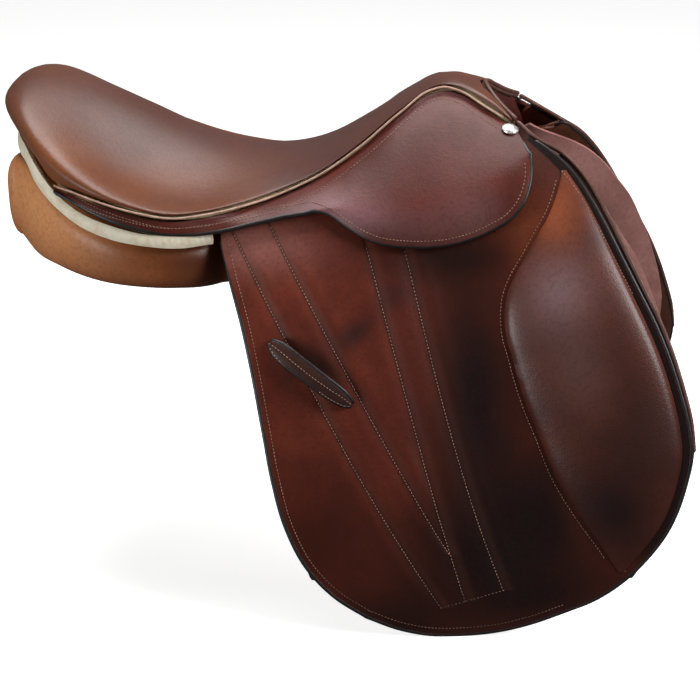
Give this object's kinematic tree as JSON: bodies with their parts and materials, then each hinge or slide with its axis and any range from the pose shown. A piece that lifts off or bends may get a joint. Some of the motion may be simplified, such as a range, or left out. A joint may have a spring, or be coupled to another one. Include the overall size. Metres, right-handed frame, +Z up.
{
  "type": "jumping saddle",
  "caption": "English close-contact jumping saddle with padded flaps that swing out, lifting skirt lobes over the stirrup bars, stuffed panels and a sprung tree.",
  "frame": {"origin": "on the centre plane, level with the middle of the panels' bearing faces, under the deepest point of the seat", "axes": "+X towards the horse's head, +Y to the horse's near (left) side, +Z up"},
  "size_m": [0.5746, 0.4048, 0.417],
  "materials": {
    "seat_leather": "satin, worn",
    "panel_leather": "satin",
    "red_leather": "satin, worn",
    "knee_leather": "satin, worn",
    "sweat_leather": "matte",
    "dark_leather": "satin",
    "cream_trim": "matte",
    "beech": "matte",
    "foam": "matte",
    "webbing": "matte",
    "tree_steel": "satin",
    "bar_steel": "satin",
    "nickel": "polished"
  },
  "bodies": {
    "saddle": {"cantle_band": "cream_trim", "gullet_plate": "tree_steel", "head_plate": "tree_steel", "near_dee_chape": "dark_leather", "near_flap_upper": "red_leather", "near_girth_web": "webbing", "near_knee_pad_head": "knee_leather", "near_nail": "nickel", "near_panel": "panel_leather", "near_panel_front": "panel_leather", "near_piping": "cream_trim", "near_skirt": "red_leather", "near_spring_strip": "tree_steel", "near_stirrup_bar": "bar_steel", "near_sweat_flap": "sweat_leather", "off_dee_chape": "dark_leather", "off_flap_upper": "red_leather", "off_girth_web": "webbing", "off_knee_pad_head": "knee_leather", "off_nail": "nickel", "off_panel": "panel_leather", "off_panel_front": "panel_leather", "off_piping": "cream_trim", "off_skirt": "red_leather", "off_spring_strip": "tree_steel", "off_stirrup_bar": "bar_steel", "off_sweat_flap": "sweat_leather", "pommel_facing": "red_leather", "pommel_welt": "dark_leather", "saddle_tree": "beech", "seat_cover": "seat_leather", "seat_foam": "foam", "seat_web_cross": "webbing", "seat_web_long": "webbing"},
    "off_flap": {"off_flap": "red_leather", "off_knee_pad": "knee_leather", "off_keeper": "dark_leather"},
    "off_skirt_lobe": {"off_skirt_lobe": "red_leather"},
    "off_stirrup_catch": {"off_stirrup_catch": "bar_steel"},
    "off_dee_ring": {"off_dee_ring": "nickel"},
    "off_front_billet": {"off_front_billet": "dark_leather"},
    "off_rear_billet": {"off_rear_billet": "dark_leather"},
    "near_flap": {"near_flap": "red_leather", "near_knee_pad": "knee_leather", "near_keeper": "dark_leather"},
    "near_skirt_lobe": {"near_skirt_lobe": "red_leather"},
    "near_stirrup_catch": {"near_stirrup_catch": "bar_steel"},
    "near_dee_ring": {"near_dee_ring": "nickel"},
    "near_front_billet": {"near_front_billet": "dark_leather"},
    "near_rear_billet": {"near_rear_billet": "dark_leather"}
  },
  "joints": [
    {"name": "off_flap_bend", "type": "hinge", "parent": "saddle", "child": "off_flap", "pos_m": [0.272, -0.10565, 0.03325], "axis": [-0.9917, -0.092, -0.09], "range_deg": [0, 75]},
    {"name": "off_skirt_fold", "type": "hinge", "parent": "saddle", "child": "off_skirt_lobe", "pos_m": [0.1215, -0.0955, 0.069], "axis": [-0.9496, -0.1809, -0.2559], "range_deg": [0, 95]},
    {"name": "off_catch_hinge", "type": "hinge", "parent": "saddle", "child": "off_stirrup_catch", "pos_m": [0.1126, -0.10463, 0.04889], "axis": [0, 0.8487, -0.5288], "range_deg": [0, 30]},
    {"name": "off_dee_hinge", "type": "hinge", "parent": "saddle", "child": "off_dee_ring", "pos_m": [0.196, -0.08024, 0.08084], "axis": [-0.9843, -0.103, -0.143], "range_deg": [0, 15]},
    {"name": "off_front_billet_swing", "type": "hinge", "parent": "saddle", "child": "off_front_billet", "pos_m": [0.084, -0.10387, 0.02691], "axis": [0.037, -0.8593, 0.5102], "range_deg": [-2, 4]},
    {"name": "off_rear_billet_swing", "type": "hinge", "parent": "saddle", "child": "off_rear_billet", "pos_m": [0.05, -0.11199, 0.0157], "axis": [0.037, -0.8593, 0.5102], "range_deg": [-4, 2]},
    {"name": "near_flap_bend", "type": "hinge", "parent": "saddle", "child": "near_flap", "pos_m": [0.272, 0.10565, 0.03325], "axis": [0.9917, -0.092, 0.09], "range_deg": [0, 75]},
    {"name": "near_skirt_fold", "type": "hinge", "parent": "saddle", "child": "near_skirt_lobe", "pos_m": [0.1215, 0.0955, 0.069], "axis": [0.9496, -0.1809, 0.2559], "range_deg": [0, 95]},
    {"name": "near_catch_hinge", "type": "hinge", "parent": "saddle", "child": "near_stirrup_catch", "pos_m": [0.1126, 0.10463, 0.04889], "axis": [0, 0.8487, 0.5288], "range_deg": [0, 30]},
    {"name": "near_dee_hinge", "type": "hinge", "parent": "saddle", "child": "near_dee_ring", "pos_m": [0.196, 0.08024, 0.08084], "axis": [0.9843, -0.103, 0.143], "range_deg": [0, 15]},
    {"name": "near_front_billet_swing", "type": "hinge", "parent": "saddle", "child": "near_front_billet", "pos_m": [0.084, 0.10387, 0.02691], "axis": [-0.037, -0.8593, -0.5102], "range_deg": [-2, 4]},
    {"name": "near_rear_billet_swing", "type": "hinge", "parent": "saddle", "child": "near_rear_billet", "pos_m": [0.05, 0.11199, 0.0157], "axis": [-0.037, -0.8593, -0.5102], "range_deg": [-4, 2]}
  ]
}
